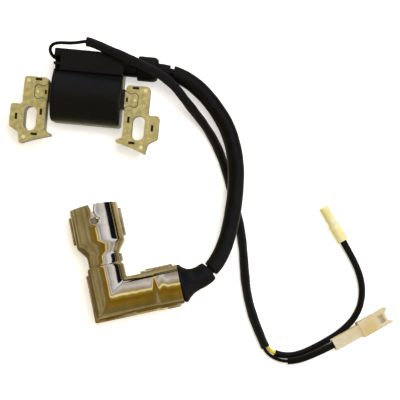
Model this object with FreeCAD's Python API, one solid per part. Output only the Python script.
import FreeCAD, Part
import math
import os

# Flywheel-magneto ignition coil of a small single-cylinder engine, with its high-tension lead, its
# metal-shielded spark-plug cap and its low-tension harness, lying on a flat surface. Millimetres.
#
# Frame: the origin is on the surface, under the middle of the coil. +X runs from the left pole leg to the
# right one, +Y away from the flywheel, and +Z up. The flywheel's axis is parallel to Z, on the -Y side.
#
# The spark-plug cap, the bullet connector and the blade connector each have a frame of their own, set by a
# placement. Every cord is a list of points, joined by straight runs and tangent arcs.

# --- laminated core ---
CORE_Z = 17.0               # middle of the stack
STACK = 12.0                # thickness of the stack
CORE_Y = 2.4                # axis of the core bar
BAR_HALF = 4.5              # half the bar's width
CASE_HALF = 19.6            # half the case's length along X
LEG_GAP = 2.4               # from the case's end to the leg
LEG_IN = CASE_HALF + LEG_GAP
LEG_WIDTH = 13.5
LEG_OUT = LEG_IN + LEG_WIDTH
BAR_END = LEG_IN - 0.1      # where the bar meets the leg
TAB_WAIST = (LEG_IN + 2.8, 3.0)     # (distance from the middle plane, half width) along the interlocking tab
TAB_HEAD = (LEG_IN + 5.6, 4.1)
TAB_TIP = (LEG_IN + 6.9, 2.6)
TAB_ROUND = 0.9
TAB_GAP = 0.08              # clearance between the tab and its seat
TAB_GROOVE = 0.35           # width of the pressed groove along the joint line
RIVET_X = LEG_IN + 5.4
RIVET_R = 0.8
STAKE_MARK = (1.2, 2.4)     # rectangular stake beside the case, on the tab's root
STAKE_X = LEG_IN + 0.9
LEG_TOP = 10.7
WING_OUT = LEG_OUT + 6.5
WING_TOP = -5.3
WING_LOW = -18.2
FOOT_SHOULDER = (LEG_OUT + 1.1, -21.3)
FOOT_CORNER_Y = -27.5
FOOT_TOE_X = LEG_IN - 3.4
TOE_TOP = -20.6
TOE_ROOT = -19.0
FLYWHEEL_R = 87.0           # the feet follow the flywheel's rim
SLOT_X = LEG_IN + 8.5       # half the distance between the mounting slots
SLOT_Y = -12.9
SLOT_R = 3.5
SLOT_LENGTH = 13.8
PRESS_MARK = (3.6, 1.4)     # rectangular interlock marks
BAR_MARKS = ((LEG_IN + 5.4, 9.3), (LEG_IN + 5.6, -21.6))        # marks that lie along X
LEG_MARKS = ((LEG_IN + 16.4, -12.4), (LEG_IN + 2.7, -8.8))      # marks that lie along Y
ROUND_MARKS = ((LEG_IN + 11.0, 8.4), (LEG_IN + 11.3, -23.6))
ROUND_MARK_R = 1.1
MARK_DEPTH = 0.35           # rectangular marks and the groove
ROUND_MARK_DEPTH = 0.2
LEG_ROUND = (2.0, 1.4, 0.5)         # outer corners, inner corners and toe

# --- bobbins and windings ---
BOBBIN_WALL = 0.9
CORE_FIT = 0.1
WALL = 1.6
COLLAR_HALF_Y = BAR_HALF + CORE_FIT + BOBBIN_WALL      # half size of the bobbin's rectangular collar
COLLAR_HALF_Z = STACK / 2 + CORE_FIT + BOBBIN_WALL
BOBBIN_CORNER = 0.2         # least wall over the collar's corners
BOBBIN_R = math.hypot(COLLAR_HALF_Y, COLLAR_HALF_Z) + BOBBIN_CORNER
RESIN_END = 2.6             # resin between the primary bobbin and the case's end wall
BOBBIN_HALF = CASE_HALF - WALL - RESIN_END
FLANGE = 0.8
COLLAR_END = LEG_IN - 0.4
PRIMARY_BUILD = 1.3         # depth of the primary winding
PRIMARY_R = BOBBIN_R + PRIMARY_BUILD
WINDING_FIT = 0.1
SECONDARY_IN = PRIMARY_R + WINDING_FIT
SECONDARY_WALL = 0.8
SECONDARY_BUILD = 1.8
SECONDARY_R = SECONDARY_IN + SECONDARY_WALL + SECONDARY_BUILD
SECONDARY_FLANGE_R = SECONDARY_R + 0.4      # flanges stand above the turns
SECONDARY_HALF = BOBBIN_HALF - 1.0          # shorter than the primary bobbin at each end
SECTIONS = 4

# --- case ---
RESIN_ROUND = 0.6           # resin between the secondary bobbin and the barrel's wall
BARREL_R = SECONDARY_FLANGE_R + RESIN_ROUND + WALL
BLOCK_DEPTH = 12.5          # from its step on the barrel to its back
BLOCK_BACK = 27.5
BLOCK_FRONT = BLOCK_BACK - BLOCK_DEPTH
BLOCK_TOP = 27.5
END_ROUND = 1.6
BLOCK_ROUND = 0.8
RESIN_LEVEL = 0.6           # resin stops this far inside the rim
NOOK_DEPTH = 3.7            # wire nooks in the block's left side
NOOK_FLOOR = BLOCK_TOP - 8.5
NOOKS = ((BLOCK_BACK - 7.8, BLOCK_BACK - 4.2), (BLOCK_BACK - 11.9, BLOCK_BACK - 9.1))
NOOK_SKIN = 1.2
LEAD_R = 2.8
LEAD_FIT = 0.08
TOWER_Y = 21.2
TOWER_Z = 15.0
TOWER_BORE = LEAD_R + 0.4
TOWER_R = TOWER_BORE + 2.15
TOWER_END = 34.0

# --- igniter board ---
BOARD_FRONT = BLOCK_BACK - 5.9
BOARD_THICK = 1.6
BOARD = (-12.0, 11.0, BOARD_FRONT, BOARD_FRONT + BOARD_THICK, 4.0, 16.5)   # X, Y and Z limits
TRANSISTOR = (-9.5, 0.5, BOARD_FRONT - 4.4, BOARD_FRONT, 4.5, 15.5)
CHIP = (2.6, 9.4, BOARD_FRONT - 2.8, BOARD_FRONT, 5.5, 13.5)
SMALL_RESISTOR_R = 0.9
SMALL_RESISTOR_LENGTH = 5.0
RESISTOR_ROW = (BOARD_FRONT + BOARD_THICK + SMALL_RESISTOR_R + 0.2, 6.5)   # Y and Z
SMALL_RESISTORS = (-10.5, -3.5, 3.5)

# --- high-tension lead ---
CONDUCTOR_R = 0.6
HV_SLEEVE_IN = LEAD_R + 0.8
HV_SLEEVE_WALL = 1.1
HV_SLEEVE_R = HV_SLEEVE_IN + HV_SLEEVE_WALL
HV_SLEEVE_GAP = (15.5, 26.0)   # bare lead before the sleeve, from the tower end and from the cap end
CONDUCTOR_SHORT = 5.0          # the contacts reach this far into each end of the conductor
CONTACT_FIT = 0.02             # between a contact's point and the lead's bore
TERMINAL_R = 1.2
TERMINAL_THIN_R = TERMINAL_R - 0.4
TERMINAL_GAP = 0.2             # pin's shoulder to the lead, and its leg to the secondary winding
CAP_RUBBER_R = TOWER_R + 1.75
CAP_RUBBER = (27.0, 38.5)
CAP_RUBBER_CHAMFER = 1.4
STRAIN_R = LEAD_R + 1.4
STRAIN = (TOWER_END + 0.4, 45.0)

HV_ROUTE = (
    (31.5, TOWER_Y, TOWER_Z), (44.2, TOWER_Y, TOWER_Z), (56.2, 17.3, 14.0), (65.9, 10.5, 13.0),
    (74.0, 2.0, 12.2), (80.8, -7.4, 11.6), (85.7, -19.2, 11.2), (88.2, -31.8, 11.0),
    (88.8, -44.4, 11.2), (88.2, -56.6, 12.4), (86.8, -68.2, 14.6), (84.0, -79.2, 17.6),
    (78.8, -89.0, 20.4), (69.62, -95.87, 21.4), (58.18, -99.48, 21.4),
)

# --- low-tension harness ---
KILL_WIRE_R = 0.95
HARNESS_R = 2.6
HARNESS_WALL = 0.4
BRANCH_R = 1.95
BRANCH_WALL = 0.4
WIRE_R = 1.0
SPLICE_R = 1.6
SPLICE_LENGTH = 7.0
SPLICE_BACK = 4.0           # bare wires between the splice and the harness sleeve's end
GROMMET_R = 1.7
GROMMET_LENGTH = 2.2

LOOP_ROUTE = (
    (-14.6, 21.0, 20.9), (-17.6, 21.5, 21.4), (-20.4, 22.6, 22.8), (-22.3, 24.8, 24.6),
    (-22.4, 27.6, 26.4), (-20.2, 29.6, 27.8), (-16.4, 30.3, 28.6), (-11.6, 30.4, 29.0),
    (-6.6, 31.1, 29.4),
)
HARNESS_ROUTE = (
    (-1.8, 32.4, 30.0), (6.6, 29.8, 31.2), (15.0, 26.9, 31.8), (24.2, 23.9, 30.6), (33.4, 20.9, 27.4),
    (41.6, 17.6, 23.2), (48.9, 12.7, 18.6), (55.3, 5.9, 14.4), (61.3, -0.2, 10.3), (67.0, -6.0, 6.7),
    (72.3, -12.6, 4.0), (77.2, -20.4, 2.8), (81.6, -29.7, 2.8), (85.8, -40.3, 2.8), (89.7, -51.6, 2.8),
    (93.4, -62.9, 2.8), (96.3, -75.1, 2.8), (98.1, -86.8, 2.8), (100.2, -98.2, 2.8),
    (103.7, -109.6, 2.8), (108.6, -120.6, 2.8), (114.5, -131.2, 2.8),
)
YELLOW_ROUTE = (
    (113.7, -127.6, 2.8), (116.1, -131.9, 2.8), (120.3, -134.3, 2.5), (125.8, -135.1, 2.1),
    (131.9, -134.3, 2.1), (138.2, -131.5, 2.1), (144.4, -127.7, 2.1), (150.3, -123.6, 2.1),
    (155.6, -119.6, 2.1), (160.6, -114.6, 2.1), (164.6, -108.9, 2.1), (167.3, -101.2, 2.1),
    (167.2, -91.6, 2.5), (163.9, -81.9, 3.1), (156.3, -70.0, 3.4), (149.0, -59.8, 3.4),
)
BLACK_ROUTE = (
    (111.9, -128.7, 2.8), (114.3, -133.0, 2.6), (118.8, -136.5, 3.0), (125.0, -138.2, 4.4),
    (132.0, -137.1, 5.9), (138.8, -134.2, 7.0), (151.15, -126.8, 9.5), (162.9, -119.0, 7.3),
)
YELLOW_SHOWING = 9.4        # wire length before its branch sleeve
BLACK_SHOWING = 20.0
BRANCH_SHORT = 4.2          # the sleeve stops this far from the wire's end

# --- bullet connector, X from its mouth to its wire end ---
BULLET_PLACE = (140.3, -47.6, 3.4)
BULLET_TURN = -54.4
BULLET_LENGTH = 22.5
BULLET_BORE_R = BRANCH_R + 0.35
BULLET_FRONT_R = BULLET_BORE_R + 0.45
BULLET_FRONT = 12.0
BULLET_REAR_R = BULLET_BORE_R + 0.95
BULLET_COLLAR = 1.3
EAR_SPAN = 7.6
EAR_HEIGHT = 2.2
SOCKET_R = 1.75             # takes a 3.5 mm bullet
SOCKET_WALL = 0.25
SOCKET_DEPTH = 9.0
SOCKET_INSET = 1.2
CRIMP_START = BULLET_LENGTH - 7.5
CRIMP_LENGTH = 3.2
CRIMP_R = 1.45
CRIMP_BORE_R = 1.1          # the crimp stands a little off the curved wire

# --- blade connector, X from its wire end to its mouth ---
BLADE_PLACE = (152.8, -125.7, 9.2)
BLADE_TURN = 33.4
BLADE_PITCH = 9.0           # the mouth rests on the surface, the wire end on the other branch
BLADE_LENGTH = 36.9
BLADE_REAR = 17.6
BLADE_WALL = 0.9
BLADE_BORE_R = BRANCH_R + 0.45
BLADE_REAR_SIZE = (2 * BLADE_BORE_R + 2.2, 2 * BLADE_BORE_R + 1.0)
BLADE_FRONT_SIZE = (9.6, 6.6)
CRIMP_CHAMBER = (7.0, 2.5, 2.0)     # start, half width and half height
MOUTH_NOTCH = (2.0, 5.4)    # length and width
LOCK_WINDOW = (28.8, 34.0, 2.5)   # from, to, half width
TERMINAL_WIDTH = BLADE_FRONT_SIZE[0] - 2 * BLADE_WALL - 0.8   # folded receptacle for a 6.3 mm blade
TERMINAL_HEIGHT = 2.4
TERMINAL_SHEET = 0.4
TERMINAL_SPAN = (19.0, 28.4)
BLADE_CRIMP = (8.5, 13.5)           # crimp barrel, along X
BLADE_CRIMP_OPEN = BLADE_CRIMP[1] - 1.1     # its bore ends here, before the neck

# --- spark-plug cap, X along the lead arm and Y towards the mouth, from where their axes cross ---
CAP_PLACE = (24.8, -110.0, 21.4)
CAP_TURN = 17.5
CAP_DIP = 8.0               # the mouth tips down to rest on the surface
SHEET = 0.7
ARM_R = 10.6
ARM_END = 39.6
ARM_COLLAR = 26.4
ARM_COLLAR_R = ARM_R + 0.5
ARM_BEAD_R = ARM_R + 0.9
ARM_BEAD = 1.6
ELBOW_END = ARM_R + 7.6     # ring step beyond the elbow
NECK_R = ARM_R - 1.3
NECK_END = 25.0
BARREL_START = 31.0
SHIELD_BARREL_R = 13.9
MOUTH = 53.0
SEAM_WIDTH = 1.3
SEAM_THICK = 0.6
KEY_BULB_R = 2.3
KEY_BULB_BACK = 9.2         # bulb's middle, back from the mouth
KEY_THROAT = 1.7
TAB_LONG = 3.6
TAB_THICK = 0.5
INSULATOR_FIT = 0.15
NOSE_END = 42.0
PLUG_BORE_R = 5.4
PLUG_BORE_START = 26.0
CLIP_START = 17.0
SEAL_R = NECK_R - SHEET - INSULATOR_FIT + 1.95
SEAL_IN = PLUG_BORE_R + 0.3
SEAL_LENGTH = 3.0
SEAL_GRIP = 4.0             # skirt over the insulator's nose
CLIP_R = 4.6
CLIP_WALL = 0.5
CLIP_LENGTH = 8.0
CLIP_SLOT = 1.2
RING_R = 0.45
CLIP_ROOM_R = CLIP_R + RING_R + 0.05
RING_Y = CLIP_START + CLIP_LENGTH - 2.5     # spring ring round the clip
CONTACT_R = 2.6
RESISTOR_R = 2.6
RESISTOR = (5.6, 20.0)
RESISTOR_FIT = 0.1
SPRING_WIRE_R = 0.35
SPRING_TURNS = 4
SPRING_R = RESISTOR_R - 0.6
SCREW_HEAD = (26.0, 28.6)
SCREW_HEAD_R = RESISTOR_R
SCREW_R = CONDUCTOR_R
SCREW_POINT = 1.8           # length of the screw's tapered point
LEAD_IN = 35.0              # the lead's end inside the cap
SWIVEL_FIT = 0.05           # the cap turns on the boot's spigot
SWIVEL_GAP = 0.2            # end play between the cap and the boot
BOOT_FLARE_R = ARM_COLLAR_R - 0.2
BOOT_WAIST_R = LEAD_R + LEAD_FIT + 3.12
BOOT_LIP = 2.2
BOOT_MIDDLE_R = BOOT_WAIST_R + 1.6      # half way down the flare
BOOT_WAIST = 48.6
BOOT_TAIL = 9.5             # bent tail beyond the waist
BOOT_PLUG = 3.4             # spigot inside the shield


def vec(x, y, z=0.0):
    return FreeCAD.Vector(x, y, z)


def block(x0, x1, y0, y1, z0, z1):
    """Box between two corners."""
    return Part.makeBox(x1 - x0, y1 - y0, z1 - z0, vec(x0, y0, z0))


def rod(start, end, radius):
    """Cylinder between two points."""
    a, b = vec(*start), vec(*end)
    return Part.makeCylinder(radius, (b - a).Length, a, b - a)


def pipe(start, end, outer, inner):
    """Straight tube between two points, cut clean at both ends."""
    a, b = vec(*start), vec(*end)
    step = (b - a).normalize()
    reach = (b - a).Length + 2
    return rod(start, end, outer).cut(Part.makeCylinder(inner, reach, a - step, step))


def turned(profile, axis):
    """Solid of revolution. The profile is (distance along the axis, radius) points."""
    if axis == "x":
        wire = Part.makePolygon([vec(a, r, 0) for a, r in (*profile, profile[0])])
        return Part.Face(wire).revolve(vec(0, 0, 0), vec(1, 0, 0), 360)
    wire = Part.makePolygon([vec(r, a, 0) for a, r in (*profile, profile[0])])
    return Part.Face(wire).revolve(vec(0, 0, 0), vec(0, 1, 0), 360)


def prism(points, z0, z1):
    """Upright prism on a plan polygon."""
    wire = Part.makePolygon([vec(x, y, z0) for x, y in (*points, points[0])])
    return Part.Face(wire).extrude(vec(0, 0, z1 - z0))


def upright_edges(shape, spots, reach=0.4):
    """The vertical edges that stand on the given plan points."""
    found = []
    for edge in shape.Edges:
        a, b = edge.Vertexes[0].Point, edge.Vertexes[-1].Point
        if (a - b).Length > 1 and abs(a.x - b.x) + abs(a.y - b.y) < 1e-6:
            if any(abs(a.x - x) + abs(a.y - y) < reach for x, y in spots):
                found.append(edge)
    return found


def in_place(shape, place, turn, dip=0.0, pitch=0.0):
    """Shape moved from a sub-assembly's own frame to the coil's frame."""
    tilt = FreeCAD.Rotation(vec(1, 0, 0), -dip).multiply(FreeCAD.Rotation(vec(0, 1, 0), pitch))
    spin = FreeCAD.Rotation(vec(0, 0, 1), turn).multiply(tilt)
    moved = shape.copy()
    moved.Placement = FreeCAD.Placement(vec(*place), spin).multiply(moved.Placement)
    return moved


# --- cord paths ---

def route_edges(name, points):
    """Straight runs joined by tangent arcs whose radius is 0.45 of the shorter run over tan(half turn)."""
    spots = [vec(*p) for p in points]
    edges, start, radii = [], spots[0], []
    for before, here, after in zip(spots, spots[1:], spots[2:]):
        into, out = here - before, after - here
        cut = 0.45 * min(into.Length, out.Length)
        half = into.getAngle(out) / 2
        radius = cut / math.tan(half)
        radii.append(radius)
        first = here - into.normalize() * cut
        last = here + out.normalize() * cut
        inward = (out - into).normalize()
        middle = here + inward * (radius / math.cos(half) - radius)
        edges.append(Part.LineSegment(start, first).toShape())
        edges.append(Part.Arc(first, middle, last).toShape())
        start = last
    edges.append(Part.LineSegment(start, spots[-1]).toShape())
    length = sum(e.Length for e in edges)
    print(f"{name}: length {length:.1f}, radii {', '.join(f'{r:.0f}' for r in radii)}")
    return edges


def stretch(edges, start, end):
    """The part of a path between two distances along it, as one wire."""
    kept, done = [], 0.0
    for edge in edges:
        low, high = max(start - done, 0), min(end - done, edge.Length)
        if high - low > 1e-3:
            first = edge.getParameterByLength(low)
            last = edge.getParameterByLength(high)
            kept.append(edge.Curve.toShape(first, last))
        done += edge.Length
    return Part.Wire(kept)


def path_length(edges):
    return sum(e.Length for e in edges)


def cord(path, outer, inner=0.0):
    """Round tube swept along a wire, with its bore if it has one."""
    edge = path.Edges[0]
    start, heading = edge.valueAt(edge.FirstParameter), edge.tangentAt(edge.FirstParameter)
    section = Part.Face(Part.Wire(Part.makeCircle(outer, start, heading)))
    if inner > 0:
        section = section.cut(Part.Face(Part.Wire(Part.makeCircle(inner, start, heading)))).Faces[0]
    solid = path.makePipe(section)
    area = math.pi * (outer ** 2 - inner ** 2)
    print(f"   tube volume {solid.Volume:.1f}, section times length {area * path.Length:.1f}")
    return solid


# --- laminated core ---

def tab_outline(grow):
    """Half outline of the interlocking tab, from its root to its tip, for x > 0."""
    root = (BAR_END, BAR_HALF + grow)
    waist, head = (TAB_WAIST[0], TAB_WAIST[1] + grow), (TAB_HEAD[0], TAB_HEAD[1] + grow)
    return [root, waist, head, (TAB_TIP[0] + grow, TAB_TIP[1] + grow)]


def core_bar(grow=0.0, z0=CORE_Z - STACK / 2, z1=CORE_Z + STACK / 2):
    """Bar through the windings, with a puzzle-shaped tab at each end."""
    half = tab_outline(grow)
    right = [(x, CORE_Y + y) for x, y in half] + [(x, CORE_Y - y) for x, y in reversed(half)]
    left = [(-x, y) for x, y in reversed(right)]
    bar = prism(right + left, z0, z1)
    rounded = [(s * x, CORE_Y + t * y) for x, y in half[1:] for s in (-1, 1) for t in (-1, 1)]
    bar = bar.makeFillet(TAB_ROUND, upright_edges(bar, rounded))
    return bar


def marked_core_bar():
    """The bar as assembled, with a stake mark and a rivet mark on each tab."""
    top = CORE_Z + STACK / 2
    bar = core_bar()
    dx, dy = STAKE_MARK[0] / 2, STAKE_MARK[1] / 2
    for x in (-RIVET_X, RIVET_X):
        bar = bar.cut(rod((x, CORE_Y, top - ROUND_MARK_DEPTH), (x, CORE_Y, top + 1), RIVET_R))
    for x in (-STAKE_X, STAKE_X):
        bar = bar.cut(block(x - dx, x + dx, CORE_Y - dy, CORE_Y + dy, top - MARK_DEPTH, top + 1))
    return bar


def pole_leg():
    """Right pole leg: upright, wing with the mounting slot, and a foot that follows the flywheel's rim."""
    z0, z1 = CORE_Z - STACK / 2, CORE_Z + STACK / 2
    centre_y = FOOT_CORNER_Y - math.sqrt(FLYWHEEL_R ** 2 - LEG_OUT ** 2)
    toe_y = centre_y + math.sqrt(FLYWHEEL_R ** 2 - FOOT_TOE_X ** 2)
    middle_x = (LEG_OUT + FOOT_TOE_X) / 2
    middle_y = centre_y + math.sqrt(FLYWHEEL_R ** 2 - middle_x ** 2)
    corners = [
        (LEG_OUT, FOOT_CORNER_Y), FOOT_SHOULDER, (WING_OUT, WING_LOW), (WING_OUT, WING_TOP),
        (LEG_OUT, WING_TOP), (LEG_OUT, LEG_TOP), (LEG_IN, LEG_TOP), (LEG_IN, TOE_ROOT),
        (FOOT_TOE_X, TOE_TOP), (FOOT_TOE_X, toe_y),
    ]
    spots = [vec(x, y, z0) for x, y in corners]
    edges = [Part.LineSegment(a, b).toShape() for a, b in zip(spots, spots[1:])]
    edges.append(Part.Arc(spots[-1], vec(middle_x, middle_y, z0), spots[0]).toShape())
    leg = Part.Face(Part.Wire(edges)).extrude(vec(0, 0, z1 - z0))
    for radius, places in zip(LEG_ROUND, (
        [(LEG_OUT, LEG_TOP), (LEG_IN, LEG_TOP), (WING_OUT, WING_LOW), FOOT_SHOULDER],
        [(WING_OUT, WING_TOP), (LEG_OUT, WING_TOP), (LEG_IN, TOE_ROOT)],
        [(FOOT_TOE_X, TOE_TOP), (FOOT_TOE_X, toe_y), (LEG_OUT, FOOT_CORNER_Y)],
    )):
        leg = leg.makeFillet(radius, upright_edges(leg, places))
    reach = SLOT_LENGTH / 2 - SLOT_R
    slot = block(SLOT_X - SLOT_R, SLOT_X + SLOT_R, SLOT_Y - reach, SLOT_Y + reach, z0 - 1, z1 + 1)
    for y in (SLOT_Y - reach, SLOT_Y + reach):
        slot = slot.fuse(rod((SLOT_X, y, z0 - 1), (SLOT_X, y, z1 + 1), SLOT_R))
    leg = leg.cut(slot.removeSplitter())
    long, short = PRESS_MARK[0] / 2, PRESS_MARK[1] / 2
    marks = [(x, y, long, short) for x, y in BAR_MARKS] + [(x, y, short, long) for x, y in LEG_MARKS]
    for x, y, dx, dy in marks:
        leg = leg.cut(block(x - dx, x + dx, y - dy, y + dy, z1 - MARK_DEPTH, z1 + 1))
    for x, y in ROUND_MARKS:
        leg = leg.cut(rod((x, y, z1 - ROUND_MARK_DEPTH), (x, y, z1 + 1), ROUND_MARK_R))
    leg = leg.cut(core_bar(TAB_GROOVE, z1 - MARK_DEPTH, z1 + 1))
    return leg.cut(core_bar(TAB_GAP, z0 - 1, z1 + 1))


# --- windings ---

def bobbin_bore():
    """Rectangular passage for the core bar."""
    y, z = BAR_HALF + CORE_FIT, STACK / 2 + CORE_FIT
    return block(-LEG_IN, LEG_IN, CORE_Y - y, CORE_Y + y, CORE_Z - z, CORE_Z + z)


def bobbin_collar():
    """Rectangular sleeve that stands out of both ends of the case."""
    y, z = COLLAR_HALF_Y, COLLAR_HALF_Z
    return block(-COLLAR_END, COLLAR_END, CORE_Y - y, CORE_Y + y, CORE_Z - z, CORE_Z + z)


def about_core(profile):
    """Solid turned about the core bar's axis."""
    return turned(profile, "x").translated(vec(0, CORE_Y, CORE_Z))


def ring_x(x0, x1, outer, inner):
    return about_core([(x0, inner), (x1, inner), (x1, outer), (x0, outer)])


def primary_bobbin():
    end, lip = BOBBIN_HALF, BOBBIN_HALF - FLANGE
    spool = about_core([(-end, 0), (end, 0), (end, PRIMARY_R), (lip, PRIMARY_R), (lip, BOBBIN_R),
                        (-lip, BOBBIN_R), (-lip, PRIMARY_R), (-end, PRIMARY_R)])
    return spool.fuse(bobbin_collar()).removeSplitter().cut(bobbin_bore())


def section_walls():
    """Middle of each flange of the secondary bobbin."""
    pitch = (2 * SECONDARY_HALF - FLANGE) / SECTIONS
    return [-SECONDARY_HALF + FLANGE / 2 + pitch * i for i in range(SECTIONS + 1)]


def secondary_bobbin():
    tube_r = SECONDARY_IN + SECONDARY_WALL
    bobbin = ring_x(-SECONDARY_HALF, SECONDARY_HALF, tube_r, SECONDARY_IN)
    for x in section_walls():
        bobbin = bobbin.fuse(ring_x(x - FLANGE / 2, x + FLANGE / 2, SECONDARY_FLANGE_R, SECONDARY_IN))
    return bobbin.removeSplitter()


def secondary_winding():
    walls = section_walls()
    tube_r = SECONDARY_IN + SECONDARY_WALL
    coils = [ring_x(a + FLANGE / 2, b - FLANGE / 2, SECONDARY_R, tube_r) for a, b in zip(walls, walls[1:])]
    return Part.makeCompound(coils)


# --- case ---

def arch(radius, half):
    """Half-round roof on straight walls, about the core's axis, down to the rim."""
    low, high = CORE_Y - radius, CORE_Y + radius
    a, b, c, d = vec(-half, low, 0), vec(-half, low, CORE_Z), vec(-half, high, CORE_Z), vec(-half, high, 0)
    crown = vec(-half, CORE_Y, CORE_Z + radius)
    edges = [Part.LineSegment(a, b).toShape(), Part.Arc(b, crown, c).toShape(),
             Part.LineSegment(c, d).toShape(), Part.LineSegment(d, a).toShape()]
    return Part.Face(Part.Wire(edges)).extrude(vec(2 * half, 0, 0))


def case_cavity():
    """Room inside the walls, less the thick corner that holds the wire nooks."""
    half = CASE_HALF - WALL
    back = block(-half, half, 0, BLOCK_BACK - WALL, 0, BLOCK_TOP - WALL)
    room = arch(BARREL_R - WALL, half).fuse(back).removeSplitter()
    corner = block(-half, -CASE_HALF + NOOK_DEPTH + NOOK_SKIN, NOOKS[1][0] - NOOK_SKIN, BLOCK_BACK,
                   NOOK_FLOOR - NOOK_SKIN, BLOCK_TOP)
    return room.cut(corner)


def wire_hole():
    """Passage for the low-tension wire out of the upper nook's wall."""
    a, b = vec(*LOOP_ROUTE[0]), vec(*LOOP_ROUTE[1])
    step = (b - a).normalize()
    return Part.makeCylinder(GROMMET_R, 6.0, a - step * 1.0, step)


def coil_case():
    """Moulded case: barrel over the windings, block over the board, nooks and high-tension tower."""
    barrel = arch(BARREL_R, CASE_HALF)
    ends = [e for e in barrel.Edges if e.BoundBox.XLength < 1e-6 and e.BoundBox.ZMax > 1]
    barrel = barrel.makeFillet(END_ROUND, ends)
    back = block(-CASE_HALF, CASE_HALF, BLOCK_FRONT, BLOCK_BACK, 0, BLOCK_TOP)
    rim = [e for e in back.Edges if e.BoundBox.ZMin > 1 or e.BoundBox.ZLength > 1]
    back = back.makeFillet(BLOCK_ROUND, rim)
    infill = block(-CASE_HALF + 1, CASE_HALF - 1, CORE_Y, BLOCK_FRONT + 2, 0, BLOCK_TOP - 3)
    case = barrel.fuse([back, infill]).removeSplitter()
    tower = rod((CASE_HALF - 1, TOWER_Y, TOWER_Z), (TOWER_END, TOWER_Y, TOWER_Z), TOWER_R)
    case = case.fuse(tower)
    for low, high in NOOKS:
        case = case.cut(block(-CASE_HALF - 1, -CASE_HALF + NOOK_DEPTH, low, high, NOOK_FLOOR, BLOCK_TOP + 1))
    case = case.cut([case_cavity(), bobbin_collar(), wire_hole()])
    lead_room = rod((HV_ROUTE[0][0] - TERMINAL_GAP, TOWER_Y, TOWER_Z), (TOWER_END + 1, TOWER_Y, TOWER_Z),
                    TOWER_BORE)
    pin_room = rod((CASE_HALF - WALL - 1, TOWER_Y, TOWER_Z), (TOWER_END, TOWER_Y, TOWER_Z), TERMINAL_R)
    return case.cut([lead_room, pin_room]).removeSplitter()


def hv_terminal():
    """Pin from the secondary winding to the tip that enters the lead's conductor."""
    reach, lead_start = CORE_Y + SECONDARY_R, HV_ROUTE[0][0]
    x = SECONDARY_HALF + TERMINAL_THIN_R + TERMINAL_GAP
    pin = rod((x - TERMINAL_THIN_R - 0.3, TOWER_Y, TOWER_Z), (lead_start - TERMINAL_GAP, TOWER_Y, TOWER_Z),
              TERMINAL_R)
    leg = rod((x, reach, TOWER_Z), (x, TOWER_Y, TOWER_Z), TERMINAL_THIN_R)
    tip = rod((lead_start - 0.5, TOWER_Y, TOWER_Z),
              (lead_start + CONDUCTOR_SHORT - TERMINAL_GAP, TOWER_Y, TOWER_Z), CONDUCTOR_R - CONTACT_FIT)
    return pin.fuse([leg, tip]).removeSplitter()


def small_resistors():
    y, z = RESISTOR_ROW
    rods = [rod((x, y, z), (x + SMALL_RESISTOR_LENGTH, y, z), SMALL_RESISTOR_R) for x in SMALL_RESISTORS]
    return Part.makeCompound(rods)


def potting_resin(inside):
    """Cast resin: the case's room, less everything that is buried in it."""
    room = case_cavity().cut(block(-50, 50, -50, 50, -1, RESIN_LEVEL))
    return room.cut([*inside, bobbin_collar(), bobbin_bore(), wire_hole()])


def tower_rubber_cap():
    """Rubber cap that seals the lead into the tower."""
    x0, x1 = CAP_RUBBER
    c, lead = CAP_RUBBER_CHAMFER, LEAD_R + LEAD_FIT
    profile = [(x0, TOWER_R), (x0, CAP_RUBBER_R), (x1 - c, CAP_RUBBER_R), (x1, CAP_RUBBER_R - c),
               (x1, STRAIN_R), (STRAIN[0], STRAIN_R), (STRAIN[0], lead), (TOWER_END, lead),
               (TOWER_END, TOWER_R)]
    return turned(profile, "x").translated(vec(0, TOWER_Y, TOWER_Z))


def kill_wire_grommet():
    """Rubber ring where the wire leaves the case."""
    a, b = vec(*LOOP_ROUTE[0]), vec(*LOOP_ROUTE[1])
    step = (b - a).normalize()
    start = a + step * 0.4
    end = start + step * GROMMET_LENGTH
    return pipe(tuple(start), tuple(end), GROMMET_R, KILL_WIRE_R)


# --- connectors ---

def bullet_housing():
    """Nylon sleeve with a collar and two side ears, bored right through."""
    body = turned([(0, 0), (0, BULLET_FRONT_R), (BULLET_FRONT, BULLET_FRONT_R),
                   (BULLET_FRONT, BULLET_REAR_R), (BULLET_LENGTH, BULLET_REAR_R), (BULLET_LENGTH, 0)], "x")
    ears = block(BULLET_FRONT - 0.2, BULLET_FRONT + BULLET_COLLAR, -EAR_SPAN / 2, EAR_SPAN / 2,
                 -EAR_HEIGHT / 2, EAR_HEIGHT / 2)
    body = body.fuse(ears).removeSplitter()
    return body.cut(rod((-1, 0, 0), (BULLET_LENGTH + 1, 0, 0), BULLET_BORE_R))


def bullet_terminal():
    """Rolled brass receptacle with its crimp barrel on the wire."""
    outer = SOCKET_R + SOCKET_WALL
    x0, x1 = SOCKET_INSET, SOCKET_INSET + SOCKET_DEPTH
    start, end = CRIMP_START - 0.1, CRIMP_START + CRIMP_LENGTH
    profile = [(x0, SOCKET_R), (x0, outer), (x1, outer), (x1 + 1.2, CRIMP_R), (end, CRIMP_R),
               (end, CRIMP_BORE_R), (start, CRIMP_BORE_R), (start, 0), (x1, 0), (x1, SOCKET_R)]
    shell = turned(profile, "x")
    return shell.cut(block(x0 - 1, x1 - 1.5, -0.25, 0.25, 0, outer + 1))


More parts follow.
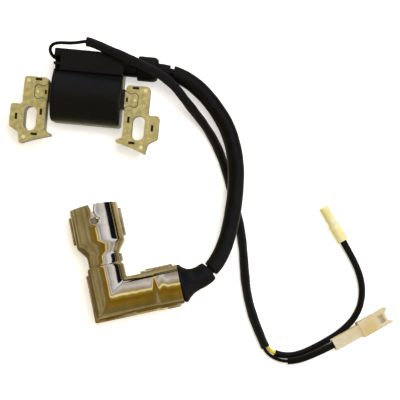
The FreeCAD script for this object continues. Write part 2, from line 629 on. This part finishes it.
def blade_room():
    """Hollow of the blade housing: front chamber, crimp chamber and sleeve bore."""
    y, z = BLADE_FRONT_SIZE[0] / 2 - BLADE_WALL, BLADE_FRONT_SIZE[1] / 2 - BLADE_WALL
    front = block(BLADE_REAR + BLADE_WALL, BLADE_LENGTH + 1, -y, y, -z, z)
    start, wide, high = CRIMP_CHAMBER
    rear = block(start, BLADE_REAR + 2, -wide, wide, -high, high)
    return front.fuse([rear, rod((-1, 0, 0), (start + 1, 0, 0), BLADE_BORE_R)])


def blade_housing():
    """One-way housing: stepped rectangular body, notched mouth and a window for the mating half's catch."""
    wy, hz = BLADE_REAR_SIZE[0] / 2, BLADE_REAR_SIZE[1] / 2
    fy, fz = BLADE_FRONT_SIZE[0] / 2, BLADE_FRONT_SIZE[1] / 2
    rear = block(0, BLADE_REAR + 1, -wy, wy, -hz, hz)
    rear = rear.makeFillet(0.9, [e for e in rear.Edges if e.BoundBox.XLength > 1])
    front = block(BLADE_REAR, BLADE_LENGTH, -fy, fy, -fz, fz)
    front = front.makeFillet(0.7, [e for e in front.Edges if e.BoundBox.XLength > 1])
    body = front.fuse(rear).removeSplitter()
    length, width = MOUTH_NOTCH
    notch = block(BLADE_LENGTH - length, BLADE_LENGTH + 1, -width / 2, width / 2, -fz - 1, fz + 1)
    window = block(LOCK_WINDOW[0], LOCK_WINDOW[1], -LOCK_WINDOW[2], LOCK_WINDOW[2], -fz - 1, fz + 1)
    return body.cut([blade_room(), notch, window])


def blade_terminal():
    """Folded brass receptacle, open at the front, with its crimp barrel."""
    w, h, t = TERMINAL_WIDTH / 2, TERMINAL_HEIGHT / 2, TERMINAL_SHEET
    x0, x1 = TERMINAL_SPAN
    shell = block(x0, x1, -w, w, -h, h).cut(block(x0 + 1, x1 + 1, -w + t, w - t, -h + t, h - t))
    shell = shell.cut(block(x0 + 1, x1 + 1, -0.5, 0.5, 0, h + 1))
    c0, c1 = BLADE_CRIMP
    neck = block(c1 - 0.5, x0 + 0.5, -CRIMP_R, CRIMP_R, -h, -h + 0.6)
    crimp = pipe((c0, 0, 0), (c1, 0, 0), CRIMP_R, CRIMP_BORE_R)
    web = block(BLADE_CRIMP_OPEN - 0.2, c1 + 0.1, -CRIMP_BORE_R, CRIMP_BORE_R, -CRIMP_R + 0.1, 0)
    crimp = crimp.fuse(web).cut(rod((c0 - 1, 0, 0), (BLADE_CRIMP_OPEN, 0, 0), CRIMP_BORE_R))
    return shell.fuse([neck, crimp]).removeSplitter()


# --- spark-plug cap ---

def elbow(arm_profile, mouth_profile):
    """Two turned arms that meet in a mitre. Each profile runs outwards from the corner."""
    big = 60.0
    size = max(r for _, r in (*arm_profile, *mouth_profile)) + 1
    arm = turned([(-size, 0), (-size, arm_profile[0][1]), *arm_profile, (arm_profile[-1][0], 0)], "x")
    mouth = turned([(-size, 0), (-size, mouth_profile[0][1]), *mouth_profile, (mouth_profile[-1][0], 0)], "y")
    below = prism([(-big, -big), (big, big), (big, -big)], -big, big)
    above = prism([(-big, -big), (big, big), (-big, big)], -big, big)
    return arm.common(below).fuse(mouth.common(above)).removeSplitter()


def shield_body(inset):
    """The shield's outer form, shrunk by inset. With a larger inset it is the room inside."""
    over = 1.0 if inset else 0.0
    arm = [(0, ARM_R), (ARM_COLLAR - 1.2, ARM_R), (ARM_COLLAR - ARM_BEAD / 2, ARM_BEAD_R),
           (ARM_COLLAR + ARM_BEAD / 2, ARM_BEAD_R), (ARM_COLLAR + 1.4, ARM_COLLAR_R),
           (ARM_END + over, ARM_COLLAR_R)]
    mouth = [(0, ARM_R), (ELBOW_END, ARM_R), (ELBOW_END + 0.8, NECK_R), (NECK_END, NECK_R),
             (BARREL_START, SHIELD_BARREL_R), (MOUTH + over, SHIELD_BARREL_R)]
    return elbow([(a, r - inset) for a, r in arm], [(a, r - inset) for a, r in mouth])


def seam_plan():
    """Plan rectangles of the flat seam flanges: (x0, x1, y0, y1)."""
    r, w = ARM_R, SEAM_WIDTH
    side = SHIELD_BARREL_R
    return (
        (-side - w, -side + 1, BARREL_START + 2.5, MOUTH - 3.0),
        (side - 1, side + w, BARREL_START + 2.5, MOUTH - 3.0),
        (-r - w + 0.3, -r + 1, -r + 2, ELBOW_END - 3),
        (-r + 4, ARM_COLLAR - 3, -r - w, -r + 1),
        (ARM_COLLAR + 3, ARM_END - 2, -ARM_COLLAR_R - w, -ARM_COLLAR_R + 1),
        (ARM_COLLAR - 8, ARM_END - 2.5, ARM_COLLAR_R - 2, ARM_COLLAR_R + w),
        (NECK_R - 1.5, NECK_R + w, ELBOW_END + 1.6, NECK_END - 0.5),
    )


def keyhole(sign):
    """Keyhole slot in the barrel, with a flared mouth, above (+1) or below (-1)."""
    y = MOUTH - KEY_BULB_BACK
    z0, z1 = sorted((sign * 5.0, sign * 30.0))
    bulb = rod((0, y, z0), (0, y, z1), KEY_BULB_R)
    throat = block(-KEY_THROAT / 2, KEY_THROAT / 2, y, MOUTH + 1, z0, z1)
    flare = prism([(-0.6, MOUTH - 3.2), (0.6, MOUTH - 3.2), (2.0, MOUTH + 0.5), (-2.0, MOUTH + 0.5)], z0, z1)
    return bulb.fuse([throat, flare])


def shield_half(sign):
    """Upper (+1) or lower (-1) stamped shell, with its seam flanges."""
    z0, z1 = sorted((0.0, sign * 40.0))
    half_space = block(-60, 60, -60, 80, z0, z1)
    shell = shield_body(0).cut(shield_body(SHEET)).common(half_space)
    f0, f1 = sorted((0.0, sign * SEAM_THICK))
    flanges = [block(x0, x1, y0, y1, f0, f1) for x0, x1, y0, y1 in seam_plan()]
    shell = shell.fuse([f.cut(shield_body(SHEET / 2)) for f in flanges]).removeSplitter()
    shell = shell.cut(keyhole(sign))
    return shell


def crimp_tabs():
    """Folded tabs of the lower half that grip the upper half's flanges."""
    tabs = []
    for x0, x1, y0, y1 in seam_plan()[:6]:
        along_x = x1 - x0 > y1 - y0
        long0, long1 = (x0, x1) if along_x else (y0, y1)
        outer = (y0 if y0 < 0 else y1) if along_x else (x0 if x0 < 0 else x1)
        way = -1 if outer < 0 else 1
        for share in (0.25, 0.75):
            mid = long0 + share * (long1 - long0)
            a, b = mid - TAB_LONG / 2, mid + TAB_LONG / 2
            for depth, low, high in ((0.0, -SEAM_THICK, SEAM_THICK + TAB_THICK),
                                     (-SEAM_WIDTH * 0.55, SEAM_THICK, SEAM_THICK + TAB_THICK)):
                c0, c1 = sorted((outer + way * depth, outer + way * TAB_THICK))
                tabs.append(block(a, b, c0, c1, low, high) if along_x else block(c0, c1, a, b, low, high))
    return tabs


def shield_lower():
    return shield_half(-1).fuse(crimp_tabs()).removeSplitter()


def insulator_room(clear):
    """Outline of the moulded insulator inside the shield."""
    arm = [(0, ARM_R), (ARM_END - BOOT_PLUG, ARM_R)]
    mouth = [(0, ARM_R), (ELBOW_END - 0.3, ARM_R), (ELBOW_END + 0.5, NECK_R), (NOSE_END, NECK_R)]
    return elbow([(a, r - clear) for a, r in arm], [(a, r - clear) for a, r in mouth])


def cap_insulator():
    """Phenolic elbow: plug bore, contact chamber, resistor chamber and lead bore."""
    body = insulator_room(SHEET + INSULATOR_FIT)
    bores = [
        rod((0, PLUG_BORE_START, 0), (0, NOSE_END + 1, 0), PLUG_BORE_R),
        rod((0, CLIP_START, 0), (0, PLUG_BORE_START + 1, 0), CLIP_ROOM_R),
        rod((0, -CONTACT_R, 0), (0, CLIP_START + 1, 0), CONTACT_R),
        rod((0, 0, 0), (SCREW_HEAD[1], 0, 0), RESISTOR_R),
        rod((SCREW_HEAD[1] - 1, 0, 0), (LEAD_IN, 0, 0), SCREW_R + 0.1),
        rod((LEAD_IN - 0.2, 0, 0), (ARM_END, 0, 0), LEAD_R + LEAD_FIT),
    ]
    return body.cut(bores)


def plug_clip():
    """Slotted brass cup that grips the plug's terminal nut, on a stem to the contact."""
    y0 = CLIP_START
    cup = turned([(y0, 0), (y0, CLIP_R), (y0 + CLIP_LENGTH, CLIP_R), (y0 + CLIP_LENGTH, CLIP_R - CLIP_WALL),
                  (y0 + 1, CLIP_R - CLIP_WALL), (y0 + 1, 0)], "y")
    stem = rod((0, CONTACT_R - 0.2, 0), (0, y0 + 0.5, 0), CONTACT_R - 0.1)
    clip = cup.fuse(stem).removeSplitter()
    slot = CLIP_SLOT / 2
    for box in (block(-slot, slot, y0 + 2, y0 + CLIP_LENGTH + 1, -9, 9),
                block(-9, 9, y0 + 2, y0 + CLIP_LENGTH + 1, -slot, slot)):
        clip = clip.cut(box)
    groove = Part.makeTorus(CLIP_R, RING_R, vec(0, RING_Y, 0), vec(0, 1, 0))
    return clip.cut(groove)


def clip_spring():
    """Ring of spring wire round the clip."""
    ring = Part.makeTorus(CLIP_R, RING_R, vec(0, RING_Y, 0), vec(0, 1, 0))
    return ring.cut(block(-0.5, 0.5, RING_Y - 2, RING_Y + 2, 0, CLIP_R + 2))


def corner_contact():
    """Brass block at the corner, between the clip's stem and the resistor."""
    core = rod((0, -CONTACT_R + 0.1, 0), (0, CONTACT_R - 0.3, 0), CONTACT_R - 0.1)
    return core.fuse(rod((0, 0, 0), (RESISTOR[0] - 0.1, 0, 0), CONTACT_R - 0.6)).removeSplitter()


def resistor_spring():
    """Compression spring between the resistor and the lead screw."""
    x0, x1 = RESISTOR[1] + SPRING_WIRE_R, SCREW_HEAD[0] - SPRING_WIRE_R
    helix = Part.makeHelix((x1 - x0) / SPRING_TURNS, x1 - x0, SPRING_R)
    profile = Part.Wire(Part.makeCircle(SPRING_WIRE_R, vec(SPRING_R, 0, 0), vec(0, 1, 0)))
    coil = Part.Wire(helix.Edges).makePipeShell([profile], True, True)
    coil.rotate(vec(0, 0, 0), vec(0, 1, 0), 90)
    return coil.translated(vec(x0, 0, 0))


def lead_screw():
    """Screw whose point is driven into the lead's conductor."""
    radius, neck = SCREW_R - CONTACT_FIT, LEAD_IN + CONDUCTOR_SHORT - SCREW_POINT - 0.4
    head = rod((SCREW_HEAD[0], 0, 0), (SCREW_HEAD[1], 0, 0), SCREW_HEAD_R - 0.1)
    shaft = rod((SCREW_HEAD[1] - 0.5, 0, 0), (neck, 0, 0), radius)
    point = Part.makeCone(radius, radius / 4, SCREW_POINT, vec(neck, 0, 0), vec(1, 0, 0))
    return head.fuse([shaft, point]).removeSplitter()


def plug_seal():
    """Rubber ring on the insulator's nose that keeps water off the plug."""
    outer, y1 = SEAL_R, NOSE_END + SEAL_LENGTH
    nose = NECK_R - SHEET - INSULATOR_FIT
    back = NOSE_END - SEAL_GRIP
    profile = [(back, nose), (back, outer - 0.8), (back + 1, outer), (y1 - 0.6, outer),
               (y1, outer - 1.2), (y1, SEAL_IN), (NOSE_END, SEAL_IN), (NOSE_END, nose)]
    return turned(profile, "y")


def boot_flare():
    """Rubber boot's trumpet, from a spigot inside the shield to the waist."""
    spigot = ARM_COLLAR_R - SHEET - SWIVEL_FIT
    start, face = ARM_END - BOOT_PLUG + SWIVEL_GAP, ARM_END + SWIVEL_GAP
    middle = (face + BOOT_LIP + BOOT_WAIST) / 2
    profile = [(start, 0), (start, spigot), (face, spigot), (face, BOOT_FLARE_R),
               (face + BOOT_LIP, BOOT_FLARE_R), (middle - 1.0, BOOT_MIDDLE_R), (BOOT_WAIST, BOOT_WAIST_R),
               (BOOT_WAIST, 0)]
    return turned(profile, "x")


def main():
    os.makedirs("parts", exist_ok=True)
    nodes = {}

    hv = route_edges("hv_lead", HV_ROUTE)
    kill = route_edges("kill_wire", LOOP_ROUTE + HARNESS_ROUTE)
    harness = route_edges("harness_sleeve", HARNESS_ROUTE)
    yellow = route_edges("yellow_wire", YELLOW_ROUTE)
    black = route_edges("black_wire", BLACK_ROUTE)
    hv_end, harness_end = path_length(hv), path_length(harness)
    yellow_end, black_end = path_length(yellow), path_length(black)

    nodes["core_bar"] = marked_core_bar()
    nodes["right_pole_leg"] = pole_leg()
    nodes["left_pole_leg"] = pole_leg().mirror(vec(0, 0, 0), vec(1, 0, 0))
    nodes["primary_bobbin"] = primary_bobbin()
    lip = BOBBIN_HALF - FLANGE
    nodes["primary_winding"] = ring_x(-lip, lip, PRIMARY_R, BOBBIN_R)
    nodes["secondary_bobbin"] = secondary_bobbin()
    nodes["secondary_winding"] = secondary_winding()
    nodes["igniter_board"] = block(*BOARD)
    nodes["power_transistor"] = block(*TRANSISTOR)
    nodes["timing_chip"] = block(*CHIP)
    nodes["board_resistors"] = small_resistors()
    nodes["hv_terminal"] = hv_terminal()
    nodes["coil_case"] = coil_case()
    buried = [nodes[n] for n in ("secondary_bobbin", "secondary_winding", "primary_bobbin", "primary_winding",
                                 "igniter_board", "power_transistor", "timing_chip", "board_resistors",
                                 "hv_terminal")]
    nodes["potting_resin"] = potting_resin(buried)
    nodes["tower_rubber_cap"] = tower_rubber_cap()
    lead_hole = LEAD_R + LEAD_FIT
    lead_start = HV_ROUTE[0][0]
    nodes["lead_strain_tube"] = cord(stretch(hv, STRAIN[0] - lead_start, STRAIN[1] - lead_start), STRAIN_R,
                                     lead_hole)
    nodes["kill_wire_grommet"] = kill_wire_grommet()

    nodes["hv_lead"] = cord(stretch(hv, 0, hv_end), LEAD_R, CONDUCTOR_R)
    nodes["hv_conductor"] = cord(stretch(hv, CONDUCTOR_SHORT, hv_end - CONDUCTOR_SHORT), CONDUCTOR_R)
    nodes["hv_sleeve"] = cord(stretch(hv, HV_SLEEVE_GAP[0], hv_end - HV_SLEEVE_GAP[1]), HV_SLEEVE_R,
                              HV_SLEEVE_R - HV_SLEEVE_WALL)
    splice_end = harness_end - SPLICE_BACK
    splice_start = splice_end - SPLICE_LENGTH
    nodes["harness_sleeve"] = cord(stretch(harness, 0, harness_end), HARNESS_R, HARNESS_R - HARNESS_WALL)
    kill_end = path_length(kill) - SPLICE_BACK - SPLICE_LENGTH
    nodes["kill_wire"] = cord(stretch(kill, 0, kill_end), KILL_WIRE_R)
    nodes["harness_splice"] = cord(stretch(harness, splice_start, splice_end), SPLICE_R)
    nodes["yellow_wire"] = cord(stretch(yellow, 0, yellow_end), WIRE_R)
    nodes["black_wire"] = cord(stretch(black, 0, black_end), WIRE_R)
    nodes["bullet_branch_sleeve"] = cord(stretch(yellow, YELLOW_SHOWING, yellow_end - BRANCH_SHORT),
                                         BRANCH_R, BRANCH_R - BRANCH_WALL)
    nodes["blade_branch_sleeve"] = cord(stretch(black, BLACK_SHOWING, black_end - BRANCH_SHORT),
                                        BRANCH_R, BRANCH_R - BRANCH_WALL)

    bullet = (BULLET_PLACE, BULLET_TURN)
    nodes["bullet_housing"] = in_place(bullet_housing(), *bullet)
    nodes["bullet_terminal"] = in_place(bullet_terminal(), *bullet)
    blade = (BLADE_PLACE, BLADE_TURN, 0.0, BLADE_PITCH)
    nodes["blade_housing"] = in_place(blade_housing(), *blade)
    nodes["blade_terminal"] = in_place(blade_terminal(), *blade)

    cap = (CAP_PLACE, CAP_TURN, CAP_DIP)
    nodes["shield_upper_half"] = in_place(shield_half(1), *cap)
    nodes["shield_lower_half"] = in_place(shield_lower(), *cap)
    nodes["cap_insulator"] = in_place(cap_insulator(), *cap)
    nodes["plug_clip"] = in_place(plug_clip(), *cap)
    nodes["plug_clip_spring"] = in_place(clip_spring(), *cap)
    nodes["corner_contact"] = in_place(corner_contact(), *cap)
    resistor = rod((RESISTOR[0], 0, 0), (RESISTOR[1], 0, 0), RESISTOR_R - RESISTOR_FIT)
    nodes["suppressor_resistor"] = in_place(resistor, *cap)
    nodes["resistor_spring"] = in_place(resistor_spring(), *cap)
    nodes["lead_screw"] = in_place(lead_screw(), *cap)
    nodes["plug_seal"] = in_place(plug_seal(), *cap)
    flare = in_place(boot_flare(), *cap)
    waist = hv_end - (BOOT_WAIST - LEAD_IN)
    tail = cord(stretch(hv, waist - BOOT_TAIL, waist + 2.0), BOOT_WAIST_R)
    bore = cord(stretch(hv, waist - BOOT_TAIL - 1.0, hv_end), lead_hole)
    nodes["cap_rubber_boot"] = flare.fuse(tail).removeSplitter().cut(bore)

    for name, shape in nodes.items():
        state = "" if shape.isValid() else "  NOT VALID"
        print(f"{name}: {len(shape.Solids)} solids, {shape.Volume:.1f} mm3{state}")
        shape.exportStep(f"parts/{name}.step")


main()
